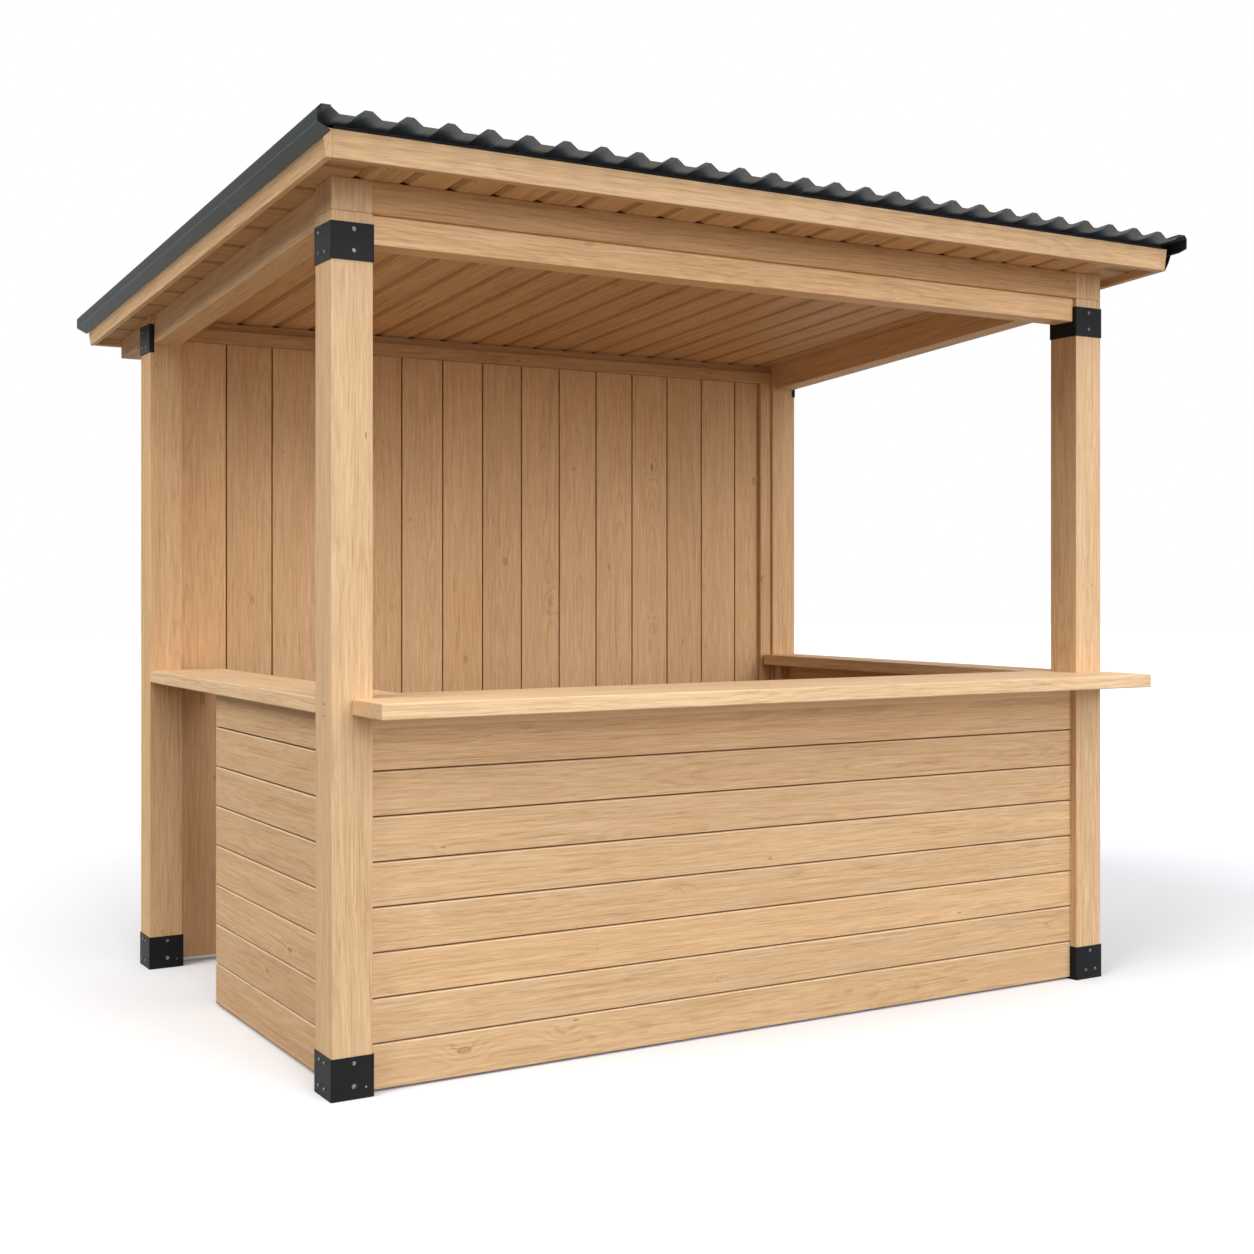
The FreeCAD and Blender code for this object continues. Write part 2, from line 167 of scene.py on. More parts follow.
def powder_coat(name, dark, worn, roughness, backing=None):
    """Powder coat on steel: an orange peel, slow clouds and a little dust. A rolled sheet has a
    plainer backing coat on the faces that look down."""
    finish = Finish(name)
    place = finish.add("ShaderNodeTexCoord", {}, {}, "Object")
    peel = finish.noise(place, 700.0, 2.0)
    cloud = finish.noise(place, 5.0, 3.0, 0.55)
    dust = finish.noise(place, 90.0, 3.0, 0.65)
    shade = finish.blend(cloud.over(0.25, 0.80) * 0.22 + dust.over(0.62, 0.85) * 0.10, dark, worn)
    if backing:
        normal = finish.add("ShaderNodeTexCoord", {}, {}, "Normal")
        below = finish.split(normal)[2].over(-0.12, -0.30)
        shade = finish.blend(below, shade, backing)
    gloss = roughness + cloud * 0.08 + dust * 0.05
    return finish.close(Base_Color=shade, Roughness=gloss, Specular_IOR_Level=0.10,
                        Normal=finish.bump(peel, 0.12, 0.0003))


def finish_node(node, material):
    """Gives a CAD node its finish."""
    nodes[node].material_slots[0].material = material


def dress(piece, material, slot, *replaced):
    """Finishes a new piece: its material, what it rides on, and the node that it stands for."""
    piece.data.materials.clear()
    piece.data.materials.append(material)
    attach(piece, "root")
    if replaced:
        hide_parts(*replaced)


shoe_coat = powder_coat("shoe_coat", SHOE_BLACK, SHOE_WORN, 0.40)
for row in ROWS:
    for side in SIDES:
        finish_node("foot_bracket_" + row + "_" + side, shoe_coat)
        finish_node("top_bracket_" + row + "_" + side, shoe_coat)

# Bolts in the shoes
# Pan-head bolts with washers go through the shoes and the post-top sleeves into the timber.
# They are zinc plated and darkened, 12 mm across, with a round socket.
BOLT_GREY = (0.290, 0.292, 0.300, 1)
BOLT_DULL = (0.095, 0.097, 0.100, 1)
WASHER_RADIUS = 0.0060
WASHER_THICKNESS = 0.0012
HEAD_RADIUS = 0.0048
HEAD_HEIGHT = 0.0034
HEAD_ROUNDING = 0.0016
SOCKET_INSET = 0.0016
SOCKET_DEPTH = 0.0018
TINY = 0.0002


def deselect_all():
    bpy.ops.object.select_all(action="DESELECT")


def shape_faces(piece, test):
    """Selects, in edit mode, the faces whose centre and normal pass the test."""
    bpy.ops.mesh.select_mode(type="FACE")
    bpy.ops.mesh.select_all(action="DESELECT")
    shape = bmesh.from_edit_mesh(piece.data)
    for face in shape.faces:
        if test(face.calc_center_median(), face.normal):
            face.select_set(True)
    bmesh.update_edit_mesh(piece.data)


def shape_edges(piece, test):
    """Selects, in edit mode, the edges whose two ends pass the test."""
    bpy.ops.mesh.select_mode(type="EDGE")
    bpy.ops.mesh.select_all(action="DESELECT")
    shape = bmesh.from_edit_mesh(piece.data)
    for edge in shape.edges:
        if test(edge.verts[0].co, edge.verts[1].co):
            edge.select_set(True)
    bmesh.update_edit_mesh(piece.data)


def pull(x, y, z):
    """Extrudes the selected faces by a distance."""
    bpy.ops.mesh.extrude_region_move(TRANSFORM_OT_translate={"value": (x, y, z)})


def turned_bolt(name, sides):
    """A bolt head with its washer, at the origin and facing up."""
    deselect_all()
    bpy.ops.mesh.primitive_cylinder_add(vertices=sides, radius=WASHER_RADIUS, depth=WASHER_THICKNESS,
                                        location=(0, 0, WASHER_THICKNESS / 2))
    bolt = bpy.context.object
    bolt.name = name
    bpy.ops.object.transform_apply(location=True)
    bpy.ops.object.mode_set(mode="EDIT")
    shape_faces(bolt, lambda centre, normal: normal.z > 0.9)
    bpy.ops.mesh.inset(thickness=WASHER_RADIUS - HEAD_RADIUS)
    pull(0, 0, HEAD_HEIGHT)
    top = WASHER_THICKNESS + HEAD_HEIGHT
    shape_edges(bolt, lambda a, b: a.z > top - TINY and b.z > top - TINY)
    bpy.ops.mesh.bevel(offset=HEAD_ROUNDING, segments=3, affect="EDGES")
    shape_faces(bolt, lambda centre, normal: normal.z > 0.9 and centre.z > top - TINY)
    bpy.ops.mesh.inset(thickness=SOCKET_INSET)
    pull(0, 0, -SOCKET_DEPTH)
    bpy.ops.object.mode_set(mode="OBJECT")
    return bolt


def copy_at(piece, place, facing, scale=1.0):
    """A copy with its own mesh, turned from facing up to the given direction."""
    copy = bpy.data.objects.new(piece.name + "_copy", piece.data.copy())
    bpy.context.scene.collection.objects.link(copy)
    turn = Vector((0, 0, 1)).rotation_difference(Vector(facing)).to_matrix().to_4x4()
    copy.data.transform(Matrix.Translation(place) @ turn @ Matrix.Scale(scale, 4))
    return copy


def join_all(pieces, name):
    """Joins finished copies into one piece."""
    deselect_all()
    for piece in pieces:
        piece.select_set(True)
    bpy.context.view_layer.objects.active = pieces[0]
    bpy.ops.object.join()
    joined = bpy.context.object
    joined.name = name
    joined.data.name = name
    return joined


def plated(name, bright, dull, roughness):
    """Dull zinc plate with a little clouding."""
    finish = Finish(name)
    place = finish.add("ShaderNodeTexCoord", {}, {}, "Object")
    cloud = finish.noise(place, 160.0, 3.0, 0.6)
    scratch = finish.noise(place, 900.0, 1.0)
    shade = finish.blend(cloud.over(0.3, 0.7), dull, bright)
    gloss = roughness + cloud * 0.15
    return finish.close(Base_Color=shade, Metallic=0.85, Roughness=gloss,
                        Normal=finish.bump(scratch, 0.10, 0.0002))


# Where the heads sit on a face: the distance in from the post's outer or front face, the height
# above the foot of the shoe or sleeve, and the size against a whole bolt
SHOE_FRONT = ((0.063, 0.098, 1.0), (0.063, 0.036, 1.15), (0.098, 0.030, 0.55))
SHOE_FRONT_RIGHT = ((0.057, 0.099, 1.0), (0.077, 0.033, 0.9), (0.032, 0.033, 0.9))
SHOE_SIDE = ((0.080, 0.098, 0.85), (0.044, 0.096, 0.85), (0.087, 0.026, 0.85), (0.044, 0.026, 0.85))
SLEEVE_FRONT = ((0.063, 0.084, 0.95), (0.063, 0.026, 0.95))
SLEEVE_SIDE = ((0.085, 0.082, 0.85), (0.085, 0.027, 0.85), (0.040, 0.024, 0.85))
POST_OUTER_X = 1.45
POST_FRONT_Y = {"front": -1.0075, "back": 0.7525}
POST_SIZE = 0.12
bolt = turned_bolt("bolt", 20)
bolts = []
for row in ROWS:
    for side in SIDES:
        way = -1 if side == "left" else 1
        front_y = POST_FRONT_Y[row]
        outer_face = way * (POST_OUTER_X + SHOE_STEEL)
        open_face = front_y - SHOE_STEEL if row == "front" else front_y + POST_SIZE + SHOE_STEEL
        open_way = -1 if row == "front" else 1
        front_heads = SHOE_FRONT if side == "left" else SHOE_FRONT_RIGHT
        for across, height, scale in front_heads:
            place = (way * (POST_OUTER_X - across), front_y - SHOE_STEEL, height)
            bolts.append(copy_at(bolt, place, (0, -1, 0), scale))
            if row == "back":
                place = (way * (POST_OUTER_X - across), open_face, height)
                bolts.append(copy_at(bolt, place, (0, 1, 0), scale))
        for across, height, scale in SHOE_SIDE:
            place = (outer_face, front_y + across, height)
            bolts.append(copy_at(bolt, place, (way, 0, 0), scale))
        sleeve_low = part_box("top_bracket_" + row + "_" + side)[0].z
        for across, height, scale in SLEEVE_FRONT:
            place = (way * (POST_OUTER_X - across), open_face, sleeve_low + height)
            bolts.append(copy_at(bolt, place, (0, open_way, 0), scale))
        for across, height, scale in SLEEVE_SIDE:
            place = (outer_face, front_y + across, sleeve_low + height)
            bolts.append(copy_at(bolt, place, (way, 0, 0), scale))
bolt_heads = join_all(bolts, "bolt_heads")
bolt_zinc = plated("bolt_zinc", BOLT_GREY, BOLT_DULL, 0.32)
dress(bolt_heads, bolt_zinc, "bracket_steel")

# Posts and the blocks on them
# Four square posts of planed larch, 120 mm thick, and a short block on each front one that carries
# the roof. Each is cut from one log and oiled, with its long edges eased by a plane.
GRAIN_PALE = (0.780, 0.530, 0.305, 1)
GRAIN_DARK = (0.460, 0.246, 0.108, 1)
KNOT_BROWN = (0.190, 0.092, 0.040, 1)
CHECK_BROWN = (0.245, 0.125, 0.056, 1)
JOINT_AND_SHADE_BROWN = (0.200, 0.072, 0.012, 1)
EDGE_HIGHLIGHT_PALE = (0.920, 0.720, 0.480, 1)
ROOF_SLOPE = math.tan(math.radians(4))
POST_EASE = 0.0030


def timber(name, along, centre, cover=None, start=0.0, heart=0.06, tone=1.0, warmth=0.0, seed=0.0,
           knots=0.42, across=None, length=0.34, figure=1.0, gap=None, rows=99, bevel=None,
           seats=(), eased_by=None):
    """Planed softwood. The grain runs along one axis of the part. Growth rings lie round a heart that
    is offset from the centre of the piece, or of each board where a cover is given. Rows is the number
    of boards, gap the joint, and eased_by and bevel their eased or bevelled edges. A painted highlight
    lies along the eased far edge of each board. A painted shade lies along the bevel, and it is deeper
    over the beams given as seats. Tone and warmth are set part by part and carry painted shade and
    painted light."""
    finish = Finish(name)
    place = finish.add("ShaderNodeTexCoord", {}, {}, "Object")
    x, y, z = finish.split(place)
    if along == "slope":
        z = z + y * ROOF_SLOPE
    axes = {"x": x, "y": y, "z": z}
    order = {"x": "xzy", "y": "yzx", "slope": "yxz", "z": "zxy"}[along]
    if across:
        order = order[0] + across + (set("xyz") - {order[0], across}).pop()
    u, v, w = [axes[axis] - centre["xyz".index(axis)] for axis in order]
    if cover:
        v = axes[order[1]]
        number = ((v - start) / cover).floor().at_most(rows - 1)
        v = v - start - (number + 0.5) * cover
        width = cover
    else:
        number = u * 0
        width = 0.12
    draw = finish.add("ShaderNodeTexWhiteNoise", {"noise_dimensions": "1D"},
                      {"W": number * 3.17 + seed}, "Color")
    one, two, three = finish.split(draw)
    u = u + one * 23

    # The grain wanders slowly along the board and ripples near the eye
    wander = finish.noise(finish.join(u * 0.8, v * 2.2 + two * 9, w * 2.2), 1.0, 1.5, 0.5, "Color")
    wander_v, wander_w, slow = finish.split(wander)
    ripple = finish.noise(finish.join(u * 6, v * 18, w * 18 + one * 7), 1.0, 2.0, 0.55, "Color")
    ripple_v, ripple_w, patch = finish.split(ripple)

    # A knot in some stretches of the board. It pushes the grain aside
    knot_line = finish.add("ShaderNodeTexVoronoi", {"voronoi_dimensions": "1D", "feature": "F1"},
                           {"W": u / length, "Scale": 1.0, "Randomness": 0.8}, "W")
    knot_node = knot_line.socket.node
    luck, side, girth = finish.split(Signal(finish, knot_node.outputs["Color"]))
    present = luck.over(1 - knots, 1.02 - knots)
    knot_radius = 0.0022 + 0.0046 * girth * girth
    from_knot_u = (u / length - knot_line) * length + (patch - 0.5) * 0.010
    from_knot_v = v - (side - 0.5) * width * 0.8 + (ripple_v - 0.5) * 0.006
    apart = (from_knot_u * from_knot_u * 0.22 + from_knot_v * from_knot_v).root()
    near = apart / knot_radius
    swirl = present * (near * 0.21).bell()

    # Growth rings about the heart of the log
    heart_v = (two - 0.5) * width * 0.9 + (wander_v - 0.5) * 0.075 + (ripple_v - 0.5) * 0.0075
    heart_w = heart * (0.55 + three * 0.9) + (wander_w - 0.5) * 0.075 + (ripple_w - 0.5) * 0.0075
    off_v = v - heart_v
    off_w = w - heart_w
    radius = (off_v * off_v + off_w * off_w).root() + swirl * knot_radius * 2.2
    ring = (radius / 0.0052 + slow * 4).fraction()
    late = ring.over(0.45, 0.86) * ring.over(1.0, 0.90)

    # Long streaks follow the wander, with fibres and short pores on them
    drift_v = v + (wander_v - 0.5) * 0.05 + swirl * 0.008
    drift_w = w + (wander_w - 0.5) * 0.05
    streak = finish.noise(finish.join(u * 1.8, drift_v * 95, drift_w * 95), 1.0, 3.0, 0.68)
    band = finish.noise(finish.join(u * 1.9, drift_v * 24, drift_w * 24 + three * 5), 1.0, 2.0)
    fibre = finish.noise(finish.join(u * 11, drift_v * 260, drift_w * 260), 1.0, 1.5, 0.6)
    pores = finish.noise(finish.join(u * 30, drift_v * 380, drift_w * 380), 1.0, 1.0)
    dash = pores.over(0.62, 0.72) * patch.over(0.40, 0.60)
    fleck = pores.over(0.36, 0.28) * slow.over(0.42, 0.58)
    hair = finish.noise(finish.join(u * 4.2, drift_v * 170, drift_w * 170 + one * 3), 1.0, 2.5, 0.62)
    body = 0.265 + (streak - 0.5) * 1.00 * figure + (band - 0.5) * 0.42 * figure
    body = body + (slow - 0.5) * 0.30 + (fibre - 0.5) * 0.80
    body = body + hair.over(0.56, 0.68) * 0.25 - hair.over(0.44, 0.33) * 0.21
    body = body + late * (0.09 + streak * 0.14 + swirl * 0.14) + dash * 0.20 - fleck * 0.14
    colour = finish.blend(body, GRAIN_PALE, GRAIN_DARK)
    # Each board's tone differs at random. The tone and warmth given to a part are set part by part:
    # darker and warmer where the part stands in shade, paler and cooler where it is lit. They carry
    # painted shade and painted light
    board_tone = (1.05 - three * 0.10) * tone
    green = board_tone * (1 - 0.35 * warmth) * (0.992 + one * 0.014)
    blue = board_tone * (1 - 0.80 * warmth) * (0.975 + one * 0.045)
    colour = finish.blend(1.0, colour, finish.join(board_tone, green, blue), "MULTIPLY")

    # The eye of the knot, its broken dark rim, and small dark ticks in the board
    heart_mask = present * near.over(1.25, 0.35) * (0.08 + patch * 0.42)
    rim = present * ((near - 1.2) * 2.6).bell() * patch.over(0.42, 0.64) * 0.60
    colour = finish.blend(heart_mask, colour, KNOT_BROWN)
    colour = finish.blend(rim, colour, CHECK_BROWN)
    tick = finish.add("ShaderNodeTexVoronoi", {"voronoi_dimensions": "3D", "feature": "F1"},
                      {"Vector": finish.join(u * 7, v * 26, w * 26), "Scale": 1.0})
    tick_luck = finish.split(Signal(finish, tick.socket.node.outputs["Color"]))[0]
    tick_mask = tick.over(0.105, 0.035) * tick_luck.over(0.90, 0.92) * 0.62
    colour = finish.blend(tick_mask, colour, KNOT_BROWN)

    # Oil and dust darken the joints between boards. Painted shade darkens a wide bevel towards the edge
    # where it is deepest, and darkens it more where the board lies over a beam
    dust = number * 0
    if gap:
        far = (v.size() - width / 2).size()
        joint = far.over(gap / 2 + 0.0004, gap / 2 - 0.0004)
        last = number.over(rows - 1.6, rows - 1.4) * v.over(0.0, 0.001)
        first = number.over(0.6, 0.4) * v.over(0.0, -0.001)
        dust = joint * (1 - last) * (1 - first)
        colour = finish.blend(dust * 0.95, colour, JOINT_AND_SHADE_BROWN)
    # Painted highlight: a pale line along the eased far edge of each board, which is the top edge of a
    # wall board, where light from above would catch it
    if eased_by:
        edge_at = width / 2 - gap / 2 - eased_by
        colour = finish.blend(v.over(edge_at, edge_at + 0.001) * (1 - dust) * 0.50, colour, EDGE_HIGHLIGHT_PALE)
    if bevel:
        # Painted shade on the bevel: darker towards the edge where it is deepest, and darker again over
        # the beams given as seats
        bevel_shade = (v + width / 2).over(bevel + 0.0005, bevel * 0.80)
        dark = bevel_shade * 0.38 + (v + width / 2).over(bevel * 0.5, gap) * 0.30
        for low, high in seats:
            over_beam_shade = y.over(low + 0.001, low + 0.004) * y.over(high - 0.001, high - 0.004)
            dark = dark + over_beam_shade * bevel_shade * 0.55
        colour = finish.blend(dark, colour, JOINT_AND_SHADE_BROWN)

    # End grain drinks the oil and goes darker
    normal = finish.add("ShaderNodeTexCoord", {}, {}, "Normal")
    end = finish.split(normal)["xyz".index(order[0])].size().over(0.75, 0.97)
    colour = finish.blend(end * (0.22 + late * 0.35), colour, GRAIN_DARK)

    # The planed face keeps a fine relief. It has a noise of its own, because a bump is worked out
    # three times at every point and would repeat the whole grain
    relief = finish.noise(finish.join(u * 11, v * 230, w * 230), 1.0, 1.5, 0.6)
    gloss = 0.60 - late * 0.05 + streak * 0.12 + dust * 0.30
    return finish.close(Base_Color=colour, Roughness=gloss, Specular_IOR_Level=0.22,
                        Normal=finish.bump(relief, 0.30, 0.0008))


def middle(node):
    """The centre of a CAD node's box."""
    low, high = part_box(node)
    return (low + high) / 2


def eased(node, width, material, slot="frame_timber"):
    """A planed copy of a timber: the same shape with its sharp edges taken off."""
    deselect_all()
    piece = bpy.data.objects.new("planed_" + node, nodes[node].data.copy())
    bpy.context.scene.collection.objects.link(piece)
    piece.select_set(True)
    bpy.context.view_layer.objects.active = piece
    bpy.ops.object.mode_set(mode="EDIT")
    bpy.ops.mesh.select_all(action="SELECT")
    bpy.ops.mesh.remove_doubles(threshold=0.00005)
    bpy.ops.mesh.dissolve_limited(angle_limit=math.radians(1))
    bpy.ops.object.mode_set(mode="OBJECT")
    ease = piece.modifiers.new("ease", "BEVEL")
    ease.width = width
    ease.segments = 2
    ease.limit_method = "ANGLE"
    ease.angle_limit = math.radians(50)
    ease.use_clamp_overlap = True
    bpy.ops.object.modifier_apply(modifier="ease")
    dress(piece, material, slot, node)


def eased_each(names, along, width, seed, slot="frame_timber", **grain):
    """Eases each of these timbers, each cut from another log."""
    for number, node in enumerate(names):
        log = timber("timber_" + node, along, middle(node), seed=seed + number * 1.7, **grain)
        eased(node, width, log, slot)


# The front posts get a cooler, paler tone as painted light, and the back posts a warmer tone as painted
# shade
eased_each(["post_front_" + side for side in SIDES], "z", POST_EASE, 11.3, heart=0.02, tone=1.00,
           warmth=-0.10, knots=0.30, figure=0.75)
eased_each(["post_back_" + side for side in SIDES], "z", POST_EASE, 14.7, heart=0.02, tone=1.07,
           warmth=0.10, knots=0.30, figure=0.75)
eased_each(["cap_block_" + side for side in SIDES], "z", POST_EASE, 17.1, heart=0.03, tone=0.97)

# Beams
# The front beam and the roof plate on it lie between the front posts, a beam and a rail close the
# back, and a sloping beam on each side runs out as a notched tail. All are planed larch, pinned.
BEAM_EASE = 0.0025
eased_each(["front_beam"], "x", BEAM_EASE, 23.9, heart=0.09, tone=1.11, warmth=0.04, knots=0.16)
# The plate, the back beam and the back rail get a darker, warmer tone as painted shade. The side beams
# get a lighter, cooler tone that paints out part of the shade on them
eased_each(["front_plate", "back_beam", "back_rail"], "x", BEAM_EASE, 25.6, heart=0.09, tone=0.85,
           warmth=0.30)
eased_each(["side_beam_" + side for side in SIDES], "slope", BEAM_EASE, 29.3, heart=0.08, tone=1.07,
           warmth=-0.06, knots=0.20)
eased_each(["rafter_tail_" + side for side in SIDES], "slope", BEAM_EASE, 31.7, heart=0.07, tone=0.95)

# Ceiling
# Boards 139 mm wide run from front to back over the beams. Each has one edge planed to a wide
# bevel, so that its joint shows as a stepped shadow line, and is tongued into the next one.
DECK_BOARDS = 20
DECK_BEVEL = 0.032
DECK_BEVEL_DEPTH = 0.0105
DECK_GAP = 0.005
DECK_THICKNESS = 0.020
DECK_FRONT_Y = -1.1755
DECK_BACK_Y = 1.2055
DECK_EDGE_X = 1.39
SOFFIT_START_Y = -1.0075
SOFFIT_START_Z = 2.481


def soffit_z(y):
    """The height of the ceiling's underside."""
    return SOFFIT_START_Z - ROOF_SLOPE * (y - SOFFIT_START_Y)


def block(name, low, high):
    """A plain block between two corners, ready to be shaped."""
    low = Vector(low)
    high = Vector(high)
    deselect_all()
    bpy.ops.mesh.primitive_cube_add(size=1, location=(low + high) / 2, scale=high - low)
    piece = bpy.context.object
    piece.name = name
    piece.data.name = name
    bpy.ops.object.transform_apply(location=True, rotation=True, scale=True)
    return piece


def cut_tongue_and_groove(board, stack, thickness, reach):
    """A tongue on the far edge of the board and a groove along its near edge."""
    step = [0, 0, 0]
    step[stack] = reach
    shape_faces(board, lambda centre, normal: normal[stack] > 0.99)
    bpy.ops.mesh.inset(thickness=thickness * 0.32)
    pull(*step)
    shape_faces(board, lambda centre, normal: normal[stack] < -0.99)
    bpy.ops.mesh.inset(thickness=thickness * 0.30)
    pull(*step)


def repeat(board, step, count):
    """Lays equal boards side by side, joined as one piece."""
    deselect_all()
    board.select_set(True)
    bpy.context.view_layer.objects.active = board
    row = board.modifiers.new("row", "ARRAY")
    row.count = count
    row.use_relative_offset = False
    row.use_constant_offset = True
    row.constant_offset_displace = step
    bpy.ops.object.modifier_apply(modifier="row")
    return board


def tip_to_roof(piece):
    """Tips a piece that was modelled level at the front post to the slope of the roof."""
    angle = math.atan(ROOF_SLOPE)
    pivot = Vector((0, SOFFIT_START_Y, SOFFIT_START_Z))
    tip = Matrix.Translation(pivot) @ Matrix.Rotation(-angle, 4, "X") @ Matrix.Translation(-pivot)
    piece.data.transform(tip)


def level_y(y):
    """Where a point at y on the roof lies before the roof is tipped."""
    return SOFFIT_START_Y + (y - SOFFIT_START_Y) / math.cos(math.atan(ROOF_SLOPE))


def bevelled_board(name, low, high, stack):
    """A ceiling board with a wide bevel along the near edge of its underside."""
    board = block(name, low, high)
    bpy.ops.object.mode_set(mode="EDIT")
    bpy.ops.mesh.select_all(action="SELECT")
    where = [0, 0, 0]
    where[stack] = low[stack] + DECK_BEVEL
    across = [0, 0, 0]
    across[stack] = 1
    bpy.ops.mesh.bisect(plane_co=where, plane_no=across)
    near, under = low[stack], low[2]
    shape_edges(board, lambda a, b: all(end[stack] < near + TINY and end.z < under + TINY
                                        for end in (a, b)))
    bpy.ops.transform.translate(value=(0, 0, DECK_BEVEL_DEPTH))
    cut_tongue_and_groove(board, stack, DECK_THICKNESS * 0.62, DECK_GAP + 0.003)
    bpy.ops.object.mode_set(mode="OBJECT")
    return board


deck_cover = 2 * DECK_EDGE_X / DECK_BOARDS
deck_low = (-DECK_EDGE_X + DECK_GAP / 2, level_y(DECK_FRONT_Y), SOFFIT_START_Z)
deck_high = (-DECK_EDGE_X + deck_cover - DECK_GAP / 2, level_y(DECK_BACK_Y),
             SOFFIT_START_Z + DECK_THICKNESS)
deck_board = bevelled_board("ceiling_boards", deck_low, deck_high, 0)
ceiling = repeat(deck_board, (deck_cover, 0, 0), DECK_BOARDS)
tip_to_roof(ceiling)
seats = [(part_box(beam)[0].y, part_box(beam)[1].y) for beam in ("front_plate", "back_beam")]
# The ceiling's warmer tone is painted shade, and so is the darkening of its bevels, which is deeper
# over the beams
ceiling_timber = timber("timber_ceiling", "slope", middle("roof_deck"), cover=deck_cover,
                        start=-DECK_EDGE_X, seed=47.7, heart=0.08, tone=0.98, warmth=0.16,
                        figure=1.3, gap=DECK_GAP, bevel=DECK_BEVEL, seats=seats)
dress(ceiling, ceiling_timber, "frame_timber", "roof_deck")

# Boards under the side eaves
# Outside the side beams short boards run across, bevelled like the ceiling boards, 210 mm wide.
# They are nailed up between the ceiling and the barge board.
SIDE_COVER = 0.21
SIDE_BOARDS = 10
SIDE_JOINT_Y = -1.0915
SIDE_INNER_X = 1.39
SIDE_OUTER_X = 1.526
for side in SIDES:
    way = -1 if side == "left" else 1
    near_x, far_x = sorted((way * SIDE_INNER_X, way * SIDE_OUTER_X))
    cover = SIDE_COVER / math.cos(math.atan(ROOF_SLOPE))
    low = (near_x, level_y(SIDE_JOINT_Y) + DECK_GAP / 2, SOFFIT_START_Z)
    high = (far_x, level_y(SIDE_JOINT_Y) + cover - DECK_GAP / 2, SOFFIT_START_Z + DECK_THICKNESS)
    eave_board = bevelled_board("eave_boards_" + side, low, high, 1)
    eave_boards = repeat(eave_board, (0, cover, 0), SIDE_BOARDS)
    front_low = (near_x, level_y(DECK_FRONT_Y), SOFFIT_START_Z)
    front_high = (far_x, level_y(SIDE_JOINT_Y) - DECK_GAP / 2, SOFFIT_START_Z + DECK_THICKNESS)
    front_board = bevelled_board("eave_front_" + side, front_low, front_high, 1)
    last_y = SIDE_JOINT_Y + SIDE_BOARDS * SIDE_COVER
    back_low = (near_x, level_y(last_y) + DECK_GAP / 2, SOFFIT_START_Z)
    back_high = (far_x, level_y(DECK_BACK_Y), SOFFIT_START_Z + DECK_THICKNESS)
    back_board = bevelled_board("eave_back_" + side, back_low, back_high, 1)
    eave_boards = join_all([eave_boards, front_board, back_board], "eave_boards_" + side)
    tip_to_roof(eave_boards)
    # The eave boards get a darker, warmer tone as painted shade, and painted shade darkens their bevels
    eave_timber = timber("timber_eave_" + side, "x", middle("side_soffit_" + side), cover=SIDE_COVER,
                         start=SIDE_JOINT_Y, seed=53.1, across="y", heart=0.08, tone=0.80,
                         warmth=0.20, gap=DECK_GAP, bevel=DECK_BEVEL)
    dress(eave_boards, eave_timber, "frame_timber", "side_soffit_" + side)

# Barge boards, fascias and purlins
# Planed larch boards close the edges of the roof: a barge board on each side, leaning in at its
# foot, and a fascia at the front and the back. Hidden purlins under the sheet tie them.
EDGE_BOARD_EASE = 0.0015
eased_each(["barge_board_" + side for side in SIDES], "slope", EDGE_BOARD_EASE, 37.1, heart=0.07,
           across="z", tone=1.16)
eased_each(["fascia_" + row for row in ROWS], "x", EDGE_BOARD_EASE, 41.3, heart=0.10, tone=0.98,
           knots=0.08)
finish_node("purlins", timber("timber_purlins", "x", middle("purlins"), seed=43.3))

# Roof sheet, flashings and eaves strips
# One corrugated steel sheet lies on the purlins and a folded flashing closes each side. Both are
# coated in a dark grey satin. Hexagon screws with washers hold the crests down at each purlin.
ROOF_GREY = (0.052, 0.060, 0.065, 1)
ROOF_PALE = (0.086, 0.098, 0.104, 1)
ROOF_BACKING = (0.300, 0.385, 0.500, 1)
FLASHING_GREY = (0.026, 0.031, 0.032, 1)
FLASHING_PALE = (0.042, 0.049, 0.050, 1)
FLASHING_BACKING = (0.130, 0.160, 0.180, 1)
EAVES_BLACK = (0.0055, 0.0058, 0.0056, 1)
EAVES_WORN = (0.014, 0.016, 0.018, 1)
CREST_FIRST_X = -1.566
CREST_STEP = 0.116
CREST_COUNT = 28
PURLIN_TOP_RISE = 0.0695
SHEET_WAVE = 0.019
SHEET_STEEL = 0.0012
CREST_RISE = PURLIN_TOP_RISE + SHEET_WAVE + SHEET_STEEL
PURLIN_LINES = (-1.153, -0.3743, 0.4043, 1.183)
SCREW_WASHER_RADIUS = 0.009
SCREW_WASHER_THICKNESS = 0.0016
SCREW_HEAD_INSET = 0.0035
SCREW_HEAD_HEIGHT = 0.0045
SCREW_HEAD_ROUNDING = 0.0009


def folded(node, material):
    """A copy of a folded sheet with its bends shaded as rolled, not as facets."""
    deselect_all()
    piece = bpy.data.objects.new("rolled_" + node, nodes[node].data.copy())
    bpy.context.scene.collection.objects.link(piece)
    piece.select_set(True)
    bpy.context.view_layer.objects.active = piece
    bpy.ops.object.mode_set(mode="EDIT")
    bpy.ops.mesh.select_all(action="SELECT")
    bpy.ops.mesh.remove_doubles(threshold=0.00005)
    bpy.ops.mesh.dissolve_limited(angle_limit=math.radians(0.5))
    bpy.ops.object.mode_set(mode="OBJECT")
    bpy.ops.object.shade_smooth_by_angle(angle=math.radians(40))
    dress(piece, material, "roof_metal", node)


